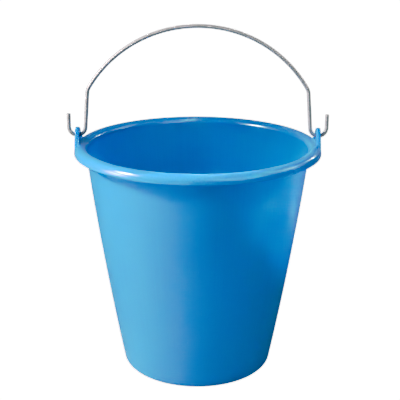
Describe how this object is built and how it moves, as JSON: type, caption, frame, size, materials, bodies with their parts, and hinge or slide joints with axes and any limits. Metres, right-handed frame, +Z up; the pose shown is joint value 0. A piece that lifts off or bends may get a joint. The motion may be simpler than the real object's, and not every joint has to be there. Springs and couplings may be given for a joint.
{
  "type": "bucket",
  "caption": "Tapered round plastic builder's bucket with a rolled rim, a holed lug on each side and a bent wire bail that swings down onto the rim.",
  "frame": {"origin": "centre of the circle that the bucket stands on", "axes": "+Z up the bucket's axis; +X through the lugs, along the bail's hinge line; the bail stands upright in the XZ plane"},
  "size_m": [0.324, 0.3064, 0.4376],
  "materials": {
    "bucket_plastic": "satin moulded polyethylene, plain mid blue, faint moulding grain and rub marks",
    "bail_wire": "bright zinc-plated drawn steel wire"
  },
  "bodies": {
    "bucket": {"bucket": "bucket_plastic"},
    "bail": {"bail": "bail_wire"}
  },
  "joints": [
    {"name": "bail_swing", "type": "hinge", "parent": "bucket", "child": "bail", "pos_m": [0, 0, 0.3005], "axis": [1, 0, 0], "range_deg": [-94, 94]}
  ]
}
